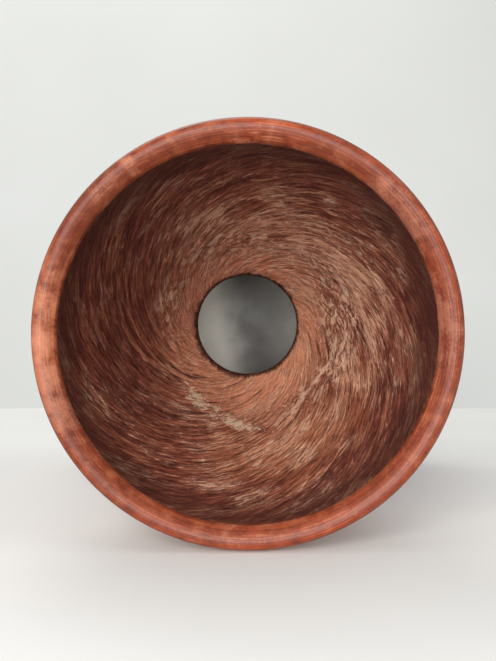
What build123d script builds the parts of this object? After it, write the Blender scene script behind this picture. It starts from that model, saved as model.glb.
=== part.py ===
from build123d import *

import os
from math import cos, radians, sin

# Darbuka: a goblet drum whose body is turned and carved from one piece of wood. Its film head is
# clamped over the bearing edge by a metal tuning rim and a ring of socket head screws, which run in
# brass inserts in the wood. Millimetres. The drum stands on its foot: the foot's lip rests on Z = 0,
# the drum's axis is Z and the head faces +Z.

os.makedirs("parts", exist_ok=True)

# ---------------------------------------------------------------- driving dimensions
HEIGHT = 430.0  # from the foot's lip to the top of the film
FOOT_RADIUS = 120.0  # widest circle of the foot
WAIST_RADIUS = 59.0  # outside of the neck, at its narrowest
THROAT_RADIUS = 38.1  # the hole between the foot bell and the body bowl
THROAT_Z = 206.0
BOWL_RADIUS = 110.0  # inside of the body bowl under the head: half the playing diameter
COLLAR_RADIUS = 137.5  # the wooden collar that holds the inserts
RIM_RADIUS = 138.0  # the tuning rim, the widest circle of the drum
SCREWS = 8
SCREW_CIRCLE = 129.2
SCREW_RADIUS = 3.0  # M6

# foot lip
LIP_INNER_RADIUS = 104.5  # the arris between the lip's bevel and the bell
LIP_BEVEL_HEIGHT = 6.5
LAND_INNER_RADIUS = 112.0  # the narrow flat land that the drum stands on
LAND_OUTER_RADIUS = 114.6
NOSE_HEIGHT = 13.0  # the rounded outer edge of the lip
THROAT_LAND = 7.0

# head end
FILM_THICKNESS = 0.35
EDGE_Z = HEIGHT - FILM_THICKNESS  # crest of the bearing edge
EDGE_INNER_ROUND = 1.45
EDGE_OUTER_ROUND = 3.45
EDGE_CREST_RADIUS = BOWL_RADIUS + EDGE_INNER_ROUND
EDGE_OUTER_RADIUS = EDGE_CREST_RADIUS + EDGE_OUTER_ROUND
COLLAR_Z = 412.0  # top face of the collar
COLLAR_BASE_Z = 386.0
COLLAR_EDGE_ROUND = 2.5
COLLAR_ROOT_RADIUS = 130.8
COLLAR_ROOT_Z = 380.0
COLLAR_BASE_ROUND = 1.5

# film and flesh hoop
FILM_COLLAR_RADIUS = 117.5  # inside of the film where it runs down into the hoop
FILM_BEND_Z = 423.6
FILM_END_Z = 418.0
HOOP_INNER_RADIUS = 115.3
HOOP_OUTER_RADIUS = 121.2
HOOP_Z = 414.6
HOOP_TOP_Z = 421.6
HOOP_SLOT_Z = 416.0
SLOT_CLEARANCE = 0.35

# tuning rim
RIM_Z = 414.8
RIM_TOP_Z = 429.5
RIM_BORE_RADIUS = 118.4
RIM_BORE_ROUND = 1.5
RIM_SHOULDER_RADIUS = 125.0  # from here the top falls away to the outside
RIM_SIDE_Z = 418.5
RIM_FOOT_CHAMFER = 0.8
POCKET_RADIUS = 6.25
POCKET_Z = 418.8
SCREW_HOLE_RADIUS = 3.4

# screws, washers and inserts
HEAD_RADIUS = 5.0
HEAD_HEIGHT = 6.0
HEAD_CHAMFER = 0.5
HEX_ACROSS_FLATS = 5.0
HEX_DEPTH = 3.2
SCREW_LENGTH = 30.0
TIP_CHAMFER = 0.8
WASHER_RADIUS = 5.75
WASHER_HOLE_RADIUS = 3.2
WASHER_THICKNESS = 1.6
WASHER_CHAMFER = 0.25
INSERT_RADIUS = 5.0
INSERT_BORE_RADIUS = 3.08
INSERT_LENGTH = 20.0
INSERT_SINK = 0.2  # the insert sits just below the collar's face
INSERT_CHAMFER = 0.5
TAP_DEPTH = 26.0  # the blind hole under each insert
HEAD_Z = POCKET_Z + WASHER_THICKNESS  # underside of the screw heads

# ---------------------------------------------------------------- outlines, as radius and height
# Outside of the body: the foot bell, the waist and the bowl under the collar.
OUTSIDE = [
    (FOOT_RADIUS, NOSE_HEIGHT),
    (117.9, 34.0),
    (111.3, 64.0),
    (99.7, 104.0),
    (85.0, 146.0),
    (69.9, 182.0),
    (WAIST_RADIUS, 217.0),
    (65.8, 242.0),
    (82.6, 271.0),
    (103.2, 302.0),
    (120.0, 334.0),
    (128.9, 364.0),
    (COLLAR_ROOT_RADIUS, COLLAR_ROOT_Z),
]
# Inside of the foot bell: a steep turned wall behind the lip, then the carved bowl.
BELL = [
    (LIP_INNER_RADIUS, LIP_BEVEL_HEIGHT),
    (102.9, 30.0),
    (97.0, 62.0),
    (87.5, 102.0),
    (72.0, 144.0),
    (56.0, 177.0),
    (THROAT_RADIUS, THROAT_Z - THROAT_LAND / 2),
]
# Inside of the body bowl, from the throat to the straight wall under the head.
BOWL = [
    (THROAT_RADIUS, THROAT_Z + THROAT_LAND / 2),
    (46.0, 226.0),
    (56.5, 246.0),
    (71.5, 272.0),
    (89.5, 304.0),
    (103.5, 337.0),
    (BOWL_RADIUS, 380.0),
]


def screw_place(index):
    """Centre of one screw, in the plane of the drum's axis."""
    angle = radians(360.0 / SCREWS * index)
    return SCREW_CIRCLE * cos(angle), SCREW_CIRCLE * sin(angle)


# ---------------------------------------------------------------- wooden shell
with BuildPart() as shell:
    with BuildSketch(Plane.XZ):
        with BuildLine():
            bevel_middle = (
                (LIP_INNER_RADIUS + LAND_INNER_RADIUS) / 2 + 0.6,
                LIP_BEVEL_HEIGHT / 2 - 1.1,
            )
            ThreePointArc(BELL[0], bevel_middle, (LAND_INNER_RADIUS, 0))
            Line((LAND_INNER_RADIUS, 0), (LAND_OUTER_RADIUS, 0))
            EllipticalCenterArc(
                (LAND_OUTER_RADIUS, NOSE_HEIGHT),
                FOOT_RADIUS - LAND_OUTER_RADIUS,
                NOSE_HEIGHT,
                start_angle=270,
                arc_size=90,
            )
            Spline(*OUTSIDE)
            RadiusArc(
                OUTSIDE[-1],
                (COLLAR_RADIUS - COLLAR_BASE_ROUND, COLLAR_BASE_Z),
                COLLAR_BASE_Z - COLLAR_ROOT_Z,
            )
            RadiusArc(
                (COLLAR_RADIUS - COLLAR_BASE_ROUND, COLLAR_BASE_Z),
                (COLLAR_RADIUS, COLLAR_BASE_Z + COLLAR_BASE_ROUND),
                -COLLAR_BASE_ROUND,
            )
            Line(
                (COLLAR_RADIUS, COLLAR_BASE_Z + COLLAR_BASE_ROUND),
                (COLLAR_RADIUS, COLLAR_Z - COLLAR_EDGE_ROUND),
            )
            RadiusArc(
                (COLLAR_RADIUS, COLLAR_Z - COLLAR_EDGE_ROUND),
                (COLLAR_RADIUS - COLLAR_EDGE_ROUND, COLLAR_Z),
                -COLLAR_EDGE_ROUND,
            )
            Line((COLLAR_RADIUS - COLLAR_EDGE_ROUND, COLLAR_Z), (EDGE_OUTER_RADIUS, COLLAR_Z))
            Line((EDGE_OUTER_RADIUS, COLLAR_Z), (EDGE_OUTER_RADIUS, EDGE_Z - EDGE_OUTER_ROUND))
            RadiusArc(
                (EDGE_OUTER_RADIUS, EDGE_Z - EDGE_OUTER_ROUND),
                (EDGE_CREST_RADIUS, EDGE_Z),
                -EDGE_OUTER_ROUND,
            )
            RadiusArc(
                (EDGE_CREST_RADIUS, EDGE_Z),
                (BOWL_RADIUS, EDGE_Z - EDGE_INNER_ROUND),
                -EDGE_INNER_ROUND,
            )
            Line((BOWL_RADIUS, EDGE_Z - EDGE_INNER_ROUND), BOWL[-1])
            Spline(*reversed(BOWL))
            Line(BOWL[0], BELL[-1])
            Spline(*reversed(BELL))
        make_face()
    revolve(axis=Axis.Z)
    with Locations((0, 0, COLLAR_Z)):
        with PolarLocations(SCREW_CIRCLE, SCREWS):
            CounterBoreHole(
                radius=SCREW_HOLE_RADIUS,
                counter_bore_radius=INSERT_RADIUS,
                counter_bore_depth=INSERT_SINK + INSERT_LENGTH,
                depth=TAP_DEPTH,
            )

shell.part.label = "shell"
export_step(shell.part, "parts/shell.step")

# ---------------------------------------------------------------- film head
with BuildPart() as head_film:
    with BuildSketch(Plane.XZ):
        with BuildLine():
            bend = HEIGHT - FILM_BEND_Z
            inner_bend = bend - FILM_THICKNESS
            bend_radius = FILM_COLLAR_RADIUS - inner_bend
            film_outside = FILM_COLLAR_RADIUS + FILM_THICKNESS
            Line((0, HEIGHT), (0, EDGE_Z))
            Line((0, EDGE_Z), (bend_radius, EDGE_Z))
            RadiusArc((bend_radius, EDGE_Z), (FILM_COLLAR_RADIUS, FILM_BEND_Z), inner_bend)
            Line((FILM_COLLAR_RADIUS, FILM_BEND_Z), (FILM_COLLAR_RADIUS, FILM_END_Z))
            Line((FILM_COLLAR_RADIUS, FILM_END_Z), (film_outside, FILM_END_Z))
            Line((film_outside, FILM_END_Z), (film_outside, FILM_BEND_Z))
            RadiusArc((film_outside, FILM_BEND_Z), (bend_radius, HEIGHT), -bend)
            Line((bend_radius, HEIGHT), (0, HEIGHT))
        make_face()
    revolve(axis=Axis.Z)

head_film.part.label = "head_film"
export_step(head_film.part, "parts/head_film.step")

# ---------------------------------------------------------------- flesh hoop, with the film's channel
with BuildPart() as flesh_hoop:
    with BuildSketch(Plane.XZ):
        with BuildLine():
            slot_inside = FILM_COLLAR_RADIUS - SLOT_CLEARANCE
            slot_outside = FILM_COLLAR_RADIUS + FILM_THICKNESS + SLOT_CLEARANCE
            Polyline(
                (HOOP_INNER_RADIUS, HOOP_Z),
                (HOOP_OUTER_RADIUS, HOOP_Z),
                (HOOP_OUTER_RADIUS, HOOP_TOP_Z),
                (slot_outside, HOOP_TOP_Z),
                (slot_outside, HOOP_SLOT_Z),
                (slot_inside, HOOP_SLOT_Z),
                (slot_inside, HOOP_TOP_Z),
                (HOOP_INNER_RADIUS, HOOP_TOP_Z),
                close=True,
            )
        make_face()
    revolve(axis=Axis.Z)
    hoop_foot = flesh_hoop.faces().sort_by(Axis.Z)[0]
    chamfer(hoop_foot.edges(), length=0.6)

flesh_hoop.part.label = "flesh_hoop"
export_step(flesh_hoop.part, "parts/flesh_hoop.step")

# ---------------------------------------------------------------- tuning rim
with BuildPart() as tuning_rim:
    with BuildSketch(Plane.XZ):
        with BuildLine():
            rim_wall_radius = HOOP_OUTER_RADIUS + 0.3
            Line((RIM_BORE_RADIUS, HOOP_TOP_Z), (rim_wall_radius, HOOP_TOP_Z))
            Line((rim_wall_radius, HOOP_TOP_Z), (rim_wall_radius, RIM_Z))
            Line((rim_wall_radius, RIM_Z), (RIM_RADIUS - RIM_FOOT_CHAMFER, RIM_Z))
            Line((RIM_RADIUS - RIM_FOOT_CHAMFER, RIM_Z), (RIM_RADIUS, RIM_Z + RIM_FOOT_CHAMFER))
            Line((RIM_RADIUS, RIM_Z + RIM_FOOT_CHAMFER), (RIM_RADIUS, RIM_SIDE_Z))
            EllipticalCenterArc(
                (RIM_SHOULDER_RADIUS, RIM_SIDE_Z),
                RIM_RADIUS - RIM_SHOULDER_RADIUS,
                RIM_TOP_Z - RIM_SIDE_Z,
                start_angle=0,
                arc_size=90,
            )
            Line((RIM_SHOULDER_RADIUS, RIM_TOP_Z), (RIM_BORE_RADIUS + RIM_BORE_ROUND, RIM_TOP_Z))
            RadiusArc(
                (RIM_BORE_RADIUS + RIM_BORE_ROUND, RIM_TOP_Z),
                (RIM_BORE_RADIUS, RIM_TOP_Z - RIM_BORE_ROUND),
                -RIM_BORE_ROUND,
            )
            Line((RIM_BORE_RADIUS, RIM_TOP_Z - RIM_BORE_ROUND), (RIM_BORE_RADIUS, HOOP_TOP_Z))
        make_face()
    revolve(axis=Axis.Z)
    with BuildSketch(Plane.XY.offset(POCKET_Z)):
        with PolarLocations(SCREW_CIRCLE, SCREWS):
            Circle(POCKET_RADIUS)
    extrude(amount=HEIGHT - POCKET_Z, mode=Mode.SUBTRACT)
    with BuildSketch(Plane.XY.offset(RIM_Z)):
        with PolarLocations(SCREW_CIRCLE, SCREWS):
            Circle(SCREW_HOLE_RADIUS)
    extrude(amount=HEIGHT - RIM_Z, mode=Mode.SUBTRACT)

tuning_rim.part.label = "tuning_rim"
export_step(tuning_rim.part, "parts/tuning_rim.step")

# ---------------------------------------------------------------- screws, washers and inserts
for number in range(SCREWS):
    x, y = screw_place(number)

    with BuildPart() as tuning_screw:
        with BuildSketch(Plane((x, y, HEAD_Z))):
            Circle(HEAD_RADIUS)
        extrude(amount=HEAD_HEIGHT)
        head_edge = tuning_screw.edges().filter_by(GeomType.CIRCLE).sort_by(Axis.Z)[-1]
        chamfer(head_edge, length=HEAD_CHAMFER)
        with BuildSketch(Plane((x, y, HEAD_Z + HEAD_HEIGHT))):
            RegularPolygon(radius=HEX_ACROSS_FLATS / 2, side_count=6, major_radius=False)
        extrude(amount=-HEX_DEPTH, mode=Mode.SUBTRACT)
        with BuildSketch(Plane((x, y, HEAD_Z))):
            Circle(SCREW_RADIUS)
        extrude(amount=-SCREW_LENGTH)
        tip_edge = tuning_screw.edges().filter_by(GeomType.CIRCLE).sort_by(Axis.Z)[0]
        chamfer(tip_edge, length=TIP_CHAMFER)

    tuning_screw.part.label = f"tuning_screw_{number + 1}"
    export_step(tuning_screw.part, f"parts/tuning_screw_{number + 1}.step")

    with BuildPart() as washer:
        with BuildSketch(Plane((x, y, POCKET_Z))):
            Circle(WASHER_RADIUS)
            Circle(WASHER_HOLE_RADIUS, mode=Mode.SUBTRACT)
        extrude(amount=WASHER_THICKNESS)
        washer_edge = washer.faces().sort_by(Axis.Z)[-1].outer_wire().edges()
        chamfer(washer_edge, length=WASHER_CHAMFER)

    washer.part.label = f"washer_{number + 1}"
    export_step(washer.part, f"parts/washer_{number + 1}.step")

    with BuildPart() as insert:
        with BuildSketch(Plane((x, y, COLLAR_Z - INSERT_SINK))):
            Circle(INSERT_RADIUS)
            Circle(INSERT_BORE_RADIUS, mode=Mode.SUBTRACT)
        extrude(amount=-INSERT_LENGTH)
        chamfer(insert.faces().sort_by(Axis.Z)[-1].inner_wires().edges(), length=INSERT_CHAMFER)
        chamfer(insert.faces().sort_by(Axis.Z)[0].outer_wire().edges(), length=INSERT_CHAMFER)

    insert.part.label = f"threaded_insert_{number + 1}"
    export_step(insert.part, f"parts/threaded_insert_{number + 1}.step")
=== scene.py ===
from functools import reduce
from math import cos, pi, radians, sin, sqrt, tan

import bmesh
import bpy
import numpy as np
from mathutils import Matrix, Vector
from mathutils.bvhtree import BVHTree
from mathutils.geometry import delaunay_2d_cdt


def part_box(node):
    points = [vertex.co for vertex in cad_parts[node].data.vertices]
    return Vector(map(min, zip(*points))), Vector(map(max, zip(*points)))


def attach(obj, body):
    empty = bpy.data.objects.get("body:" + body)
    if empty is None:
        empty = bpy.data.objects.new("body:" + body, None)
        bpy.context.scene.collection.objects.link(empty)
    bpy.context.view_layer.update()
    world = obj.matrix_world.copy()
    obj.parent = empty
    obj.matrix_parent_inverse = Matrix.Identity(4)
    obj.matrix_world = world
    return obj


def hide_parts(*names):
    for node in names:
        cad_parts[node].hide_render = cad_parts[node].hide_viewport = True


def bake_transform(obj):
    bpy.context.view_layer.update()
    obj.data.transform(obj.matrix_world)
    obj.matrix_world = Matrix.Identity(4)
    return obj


# A wooden goblet drum, seen into its open foot. The frame stands upright: the foot's lip is on Z = 0
# and the head faces +Z. In the camera's view +X is to the right and -Y is up, because the drum lies
# on its side there, on a table that touches the foot and the tuning rim on their +Y side.

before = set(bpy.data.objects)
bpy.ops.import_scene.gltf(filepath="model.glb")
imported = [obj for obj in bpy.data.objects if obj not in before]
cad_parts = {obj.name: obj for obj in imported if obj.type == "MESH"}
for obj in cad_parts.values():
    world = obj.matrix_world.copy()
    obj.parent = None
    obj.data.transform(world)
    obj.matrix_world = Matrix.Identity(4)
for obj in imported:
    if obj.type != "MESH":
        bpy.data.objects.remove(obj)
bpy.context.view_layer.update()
MM = 0.001
SCREWS = 8
FOOT_EDGE = 6.4 * MM  # height of the bell's mouth, inside the lip
HEAD_EDGE = 428.21 * MM  # height of the bearing edge's inner side


# ---- small helpers
def smooth(x, low, high):
    """0 below low, 1 above high, and a smooth step between."""
    t = np.clip((np.asarray(x, float) - low) / (high - low), 0, 1)
    return t * t * (3 - 2 * t)


def turn_gap(a, b):
    """Difference of two angles, from -pi to pi."""
    return (np.asarray(a, float) - b + pi) % (2 * pi) - pi


def lobe(angle, centre_deg, width_deg):
    """A soft bump around the drum, 1 at centre and near 0 beyond width."""
    return np.exp(-((turn_gap(angle, radians(centre_deg)) / radians(width_deg)) ** 2))


def waves(u, v, seed, low, high, count=26):
    """Smooth random field from about -1 to 1, periodic in u (an angle). v is in metres."""
    rng = np.random.default_rng(seed)
    total = np.zeros(np.broadcast(u, v).shape)
    for _ in range(count):
        turns = rng.integers(low, high + 1)
        along = rng.uniform(-1, 1) * high / 0.09
        total += rng.uniform(0.5, 1) * np.sin(turns * u + along * v + rng.uniform(0, 2 * pi))
    return total / sqrt(count) * 1.2


def linear(colour):
    """Linear RGBA from a 0-255 sRGB colour; a node's socket comes back as it is."""
    if isinstance(colour, bpy.types.NodeSocket):
        return colour
    parts = [value / 255 for value in colour]
    return (*(c / 12.92 if c <= 0.04045 else ((c + 0.055) / 1.055) ** 2.4 for c in parts), 1.0)


class Graph:
    """A node material built in a few lines. Colours are 0-255 sRGB or sockets."""

    def __init__(self, name):
        self.material = bpy.data.materials.new(name)
        self.material.use_nodes = True
        self.tree = self.material.node_tree
        self.shader = self.tree.nodes["Principled BSDF"]
        self.output = self.tree.nodes["Material Output"]

    def put(self, socket, value):
        if isinstance(value, bpy.types.NodeSocket):
            self.tree.links.new(value, socket)
        else:
            socket.default_value = value

    def node(self, kind, inputs=(), **settings):
        made = self.tree.nodes.new("ShaderNode" + kind)
        for key, value in settings.items():
            setattr(made, key, value)
        for key, value in dict(inputs).items():
            self.put(made.inputs[key], value)
        return made

    def attribute(self, name, output="Fac"):
        return self.node("Attribute", attribute_name=name).outputs[output]

    def place(self):
        return self.node("TexCoord").outputs["Object"]

    # numbers
    def math(self, operation, a, b=0.0):
        return self.node("Math", {0: a, 1: b}, operation=operation).outputs[0]

    def add(self, *terms):
        return reduce(lambda a, b: self.math("ADD", a, b), terms)

    def times(self, *terms):
        return reduce(lambda a, b: self.math("MULTIPLY", a, b), terms)

    def total(self, *pairs):
        """Sum of (value, weight) pairs."""
        return self.add(*(self.times(value, weight) for value, weight in pairs))

    def swing(self, noise, amount):
        """A 0 to 1 noise, centred on 0 and scaled."""
        return self.times(self.add(noise, -0.5), amount)

    def step(self, value, low, high, to_low=0.0, to_high=1.0):
        """Smooth step of a value between low and high."""
        inputs = {"Value": value, "From Min": low, "From Max": high, "To Min": to_low, "To Max": to_high}
        return self.node("MapRange", inputs, interpolation_type="SMOOTHSTEP").outputs["Result"]

    # vectors
    def vector(self, x, y, z=0.0):
        return self.node("CombineXYZ", {0: x, 1: y, 2: z}).outputs[0]

    def axis(self, vector, name):
        return self.node("SeparateXYZ", {0: vector}).outputs[name]

    def shift(self, vector, by):
        return self.node("VectorMath", {0: vector, 1: by}, operation="ADD").outputs[0]

    def stretch(self, vector, scale, offset=(0, 0, 0)):
        made = self.node("VectorMath", {0: vector, 1: scale, 2: offset}, operation="MULTIPLY_ADD")
        return made.outputs[0]

    def reach(self, place, tall=0, offset=(0, 0, 0)):
        """Distance from the upright axis, or from a point far along it where tall is small."""
        flat = self.stretch(place, (1, 1, tall), offset)
        return self.node("VectorMath", {0: flat}, operation="LENGTH").outputs["Value"]

    # patterns
    def noise(self, vector, scale=1.0, detail=3.0, roughness=0.55, distortion=0.0):
        look = {"Scale": scale, "Detail": detail, "Roughness": roughness, "Distortion": distortion}
        return self.node("TexNoise", {"Vector": vector, **look}).outputs["Fac"]

    def grain(self, vector, scale, offset=(0, 0, 0), **look):
        """Noise with its own scale along each axis."""
        return self.noise(self.stretch(vector, scale, offset), **look)

    def warp(self, vector, scale, amount):
        """A small random vector, to bend a pattern with."""
        made = self.node("TexNoise", {"Vector": vector, "Scale": scale, "Detail": 3.0})
        return self.stretch(self.shift(made.outputs["Color"], (-0.5, -0.5, -0.5)), (amount, amount, amount))

    def cells(self, vector):
        """Distance from each cell's middle, distance from its edge, and a random number for each cell."""
        where = {"Vector": vector, "Scale": 1.0}
        middle = self.node("TexVoronoi", where)
        edge = self.node("TexVoronoi", where, feature="DISTANCE_TO_EDGE")
        tint = self.node("SeparateColor", {0: middle.outputs["Color"]})
        return middle.outputs["Distance"], edge.outputs["Distance"], tint.outputs[0]

    # colours and the surface
    def ramp(self, value, *stops):
        made = self.node("ValToRGB", {"Fac": value})
        elements = made.color_ramp.elements
        while len(elements) < len(stops):
            elements.new(0.5)
        for element, (position, colour) in zip(elements, stops):
            element.position = position
            element.color = linear(colour)
        return made.outputs["Color"]

    def mix(self, factor, a, b):
        made = self.node("Mix", data_type="RGBA", blend_type="MIX")
        for index, value in ((0, factor), (6, linear(a)), (7, linear(b))):
            self.put(made.inputs[index], value)
        return made.outputs[2]

    def paint(self, base, colour, strength, *masks):
        """Lays a colour over base where all the masks are high."""
        return self.mix(self.times(*masks, strength), base, colour)

    def surface(self, colour, roughness, bumps=(), **fixed):
        """Links colour, roughness and a chain of (height, distance in mm, strength) bumps."""
        self.put(self.shader.inputs["Base Color"], colour)
        self.put(self.shader.inputs["Roughness"], roughness)
        normal = None
        for height, distance, strength in bumps:
            inputs = {"Height": height, "Distance": distance * MM, "Strength": strength}
            if normal:
                inputs["Normal"] = normal
            normal = self.node("Bump", inputs).outputs["Normal"]
        if normal:
            self.put(self.shader.inputs["Normal"], normal)
        for key, value in fixed.items():
            self.shader.inputs[key.replace("_", " ")].default_value = value
        return self.material

    def mixed_with(self, share, shader):
        """Mixes another shader with the main one, and returns the material."""
        both = self.node("MixShader", {0: share, 1: self.shader.outputs[0], 2: shader})
        self.tree.links.new(both.outputs[0], self.output.inputs["Surface"])
        return self.material


def around_axis(radius, angle, height):
    """Points round the Z axis, as rows of x, y, z."""
    return np.stack(np.broadcast_arrays(radius * np.cos(angle), radius * np.sin(angle), height), 1)


def new_object(name, verts, faces, materials, smooth_faces=True):
    mesh = bpy.data.meshes.new(name)
    mesh.from_pydata([tuple(v) for v in verts], [], [tuple(f) for f in faces])
    mesh.validate()
    made = bpy.data.objects.new(name, mesh)
    bpy.context.scene.collection.objects.link(made)
    for material in materials:
        mesh.materials.append(material)
    for polygon in mesh.polygons:
        polygon.use_smooth = smooth_faces
    return made


def face_outwards(mesh):
    """Turns the faces of a closed mesh so that they look outwards."""
    tidy = bmesh.new()
    tidy.from_mesh(mesh)
    bmesh.ops.recalc_face_normals(tidy, faces=tidy.faces)
    tidy.to_mesh(mesh)
    tidy.free()


# ---- the CAD shell's half-section
def section_points():
    """The CAD shell's vertices as (radius, height, how many share it), split into inside and outside.
    Apart from the screw holes all of them lie on surfaces of revolution."""
    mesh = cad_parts["shell"].data
    co = np.array([v.co for v in mesh.vertices], float)
    keys = np.round(np.stack([np.hypot(co[:, 0], co[:, 1]), co[:, 2]], 1), 5)
    points, counts = np.unique(keys, axis=0, return_counts=True)
    tree = BVHTree.FromPolygons([tuple(v) for v in co], [tuple(p.vertices) for p in mesh.polygons])
    heights = np.linspace(FOOT_EDGE + 0.7 * MM, HEAD_EDGE - 0.11 * MM, 900)
    aim = Vector((cos(0.4), sin(0.4), 0))  # between two screws
    walls = [tree.ray_cast(Vector((0, 0, z)), aim)[3] or 0 for z in heights]
    near = np.abs(np.interp(points[:, 1], heights, walls) - points[:, 0]) < 0.9 * MM
    near &= (points[:, 1] > FOOT_EDGE) & (points[:, 1] < HEAD_EDGE)
    table = np.column_stack([points, counts])
    return table[near], table[~near]


def curve_through(points, spacing):
    """Points along a smooth curve through the given (radius, height) points, about spacing apart."""
    points = np.asarray(points, float)
    chord = np.append(0, np.cumsum(np.hypot(*np.diff(points, axis=0).T)))
    count = max(2, int(round(chord[-1] / spacing)) + 1)
    slope = np.gradient(points, chord, axis=0)
    where = np.linspace(0, chord[-1], count)
    k = np.clip(np.searchsorted(chord, where, side="right") - 1, 0, len(chord) - 2)
    h = (chord[k + 1] - chord[k])[:, None]
    t = (where - chord[k])[:, None] / h
    return (
        (2 * t**3 - 3 * t**2 + 1) * points[k]
        + (t**3 - 2 * t**2 + t) * h * slope[k]
        + (-2 * t**3 + 3 * t**2) * points[k + 1]
        + (t**3 - t**2) * h * slope[k + 1]
    )


def thin(points, gap):
    """Leaves out points nearer than gap to the last one kept; the first and last stay."""
    kept = [points[0]]
    for point in points[1:-1]:
        if np.hypot(*(point - kept[-1])) > gap and np.hypot(*(point - points[-1])) > gap * 0.5:
            kept.append(point)
    return np.array(kept + [points[-1]])


# ---- mesh of revolution, ring by ring
ATTRIBUTES = ("ridge", "tone", "nick", "cream", "chalk", "warm", "stain_and_shade", "painted_light", "edge", "cross")


class Skin:
    """Collects rings of vertices and the faces between them, with values for the materials."""

    def __init__(self):
        self.rings, self.faces, self.materials, self.count = [], [], [], 0
        self.values = {name: [] for name in ATTRIBUTES}
        self.swirl, self.polar = [], []

    def ring(self, xyz, twist=0.0, along=0.0, **values):
        """Adds one ring of vertices and returns its indices."""
        xyz = np.asarray(xyz, float)
        n = len(xyz)
        self.rings.append(xyz)
        look_angle = np.arctan2(-xyz[:, 1], xyz[:, 0])
        along = np.broadcast_to(along, n)
        for store, angle in ((self.swirl, look_angle - twist), (self.polar, look_angle)):
            store.append(np.stack([np.cos(angle), np.sin(angle), along], 1))
        for name in ATTRIBUTES:
            self.values[name].append(np.broadcast_to(values.get(name, 0.0), n))
        self.count += n
        return np.arange(self.count - n, self.count)

    def turned(self, radius, height, turns, **values):
        """A plain round ring."""
        return self.ring(around_axis(radius, np.arange(turns) * 2 * pi / turns, height), **values)

    def strip(self, a, b, material=0):
        """Faces between two rings. One may have twice as many vertices as the other."""
        if len(a) == len(b):
            rows = np.stack([a, np.roll(a, -1), np.roll(b, -1), b], 1).tolist()
        else:
            fine, coarse = (a, b) if len(a) > len(b) else (b, a)
            first, middle, last = fine[0::2], fine[1::2], np.roll(fine[0::2], -1)
            near, far = coarse, np.roll(coarse, -1)
            rows = [
                *np.stack([first, middle, near], 1).tolist(),
                *np.stack([middle, far, near], 1).tolist(),
                *np.stack([middle, last, far], 1).tolist(),
            ]
        self.faces += rows
        self.materials += [material] * len(rows)

    def run(self, start, points, turns, material=0, **values):
        """Plain rings through (radius, height) points, joined on to start. Returns the last one."""
        for radius, height in points:
            ring = self.turned(radius, height, turns, **values)
            self.strip(start, ring, material)
            start = ring
        return start

    def build(self, name, materials):
        made = new_object(name, np.concatenate(self.rings), self.faces, materials)
        mesh = made.data
        mesh.polygons.foreach_set("material_index", np.array(self.materials, np.int32))
        for key, rows in self.values.items():
            layer = mesh.attributes.new(key, "FLOAT", "POINT")
            layer.data.foreach_set("value", np.concatenate(rows).astype(np.float32))
        for key, rows in (("swirl", self.swirl), ("polar", self.polar)):
            layer = mesh.attributes.new(key, "FLOAT_VECTOR", "POINT")
            layer.data.foreach_set("vector", np.concatenate(rows).astype(np.float32).ravel())
        face_outwards(mesh)
        return made


# ---- small turned parts
def rounded(corners, steps=3):
    """An outline in metres, from its corners (x, y, rounding) in millimetres."""
    outline = []
    for k, (x, y, size) in enumerate(corners):
        here = Vector((x, y))
        if not size:
            outline.append(here * MM)
            continue
        back = (Vector(corners[k - 1][:2]) - here).normalized()
        onward = (Vector(corners[(k + 1) % len(corners)][:2]) - here).normalized()
        half = back.angle(onward) / 2
        middle = here + (back + onward).normalized() * size / sin(half)
        a, b = here + back * size / tan(half) - middle, here + onward * size / tan(half) - middle
        for step in range(steps + 1):
            outline.append((middle + a.lerp(b, step / steps).normalized() * size) * MM)
    return outline


class Solid:
    """Collects vertices and faces for one small part."""

    def __init__(self):
        self.verts, self.faces = [], []

    def loop(self, points):
        self.verts += [tuple(p) for p in points]
        return list(range(len(self.verts) - len(points), len(self.verts)))

    def circle(self, radius, height, turns, centre=(0.0, 0.0)):
        """A level circle, or a single point where the radius is 0."""
        if radius == 0:
            return self.loop([(*centre, height)])
        turn = [2 * pi * k / turns for k in range(turns)]
        return self.loop([(centre[0] + radius * cos(t), centre[1] + radius * sin(t), height) for t in turn])

    def join(self, a, b):
        if len(a) == 1 or len(b) == 1:
            ring, pole = (b, a[0]) if len(a) == 1 else (a, b[0])
            self.faces += [(ring[k], ring[(k + 1) % len(ring)], pole) for k in range(len(ring))]
        else:
            self.faces += [(a[k], a[(k + 1) % len(a)], b[(k + 1) % len(a)], b[k]) for k in range(len(a))]

    def chain(self, rings, closed=False):
        for a, b in zip(rings, rings[1:] + rings[:1] if closed else rings[1:]):
            self.join(a, b)
        return self

    def build(self, name, material, sharp):
        """Makes the object, with edges sharper than so many degrees left sharp."""
        made = new_object(name, self.verts, self.faces, [material])
        face_outwards(made.data)
        made.data.set_sharp_from_angle(angle=radians(sharp))
        return made


def turned_part(outline, turns, closed=True):
    """A part turned from an outline of (radius, height) points in metres."""
    part = Solid()
    return part.chain([part.circle(r, z, turns) for r, z in outline], closed)


def plate(points, loops, keep):
    """Triangles of a flat plate between closed loops of vertex indices. keep(x, y) says what is plate."""
    index = [v for loop in loops for v in loop]
    edges, start = [], 0
    for loop in loops:
        n = len(loop)
        edges += [(start + k, start + (k + 1) % n) for k in range(n)]
        start += n
    _, _, triangles, sources, *_ = delaunay_2d_cdt([Vector(points[i][:2]) for i in index], edges, [], 0, 1e-7)
    faces = []
    for face in triangles:
        original = [index[sources[v][0]] for v in face]
        centre = np.mean([points[v][:2] for v in original], axis=0)
        if keep(*centre):
            faces.append([int(v) for v in original])
    return faces


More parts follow.
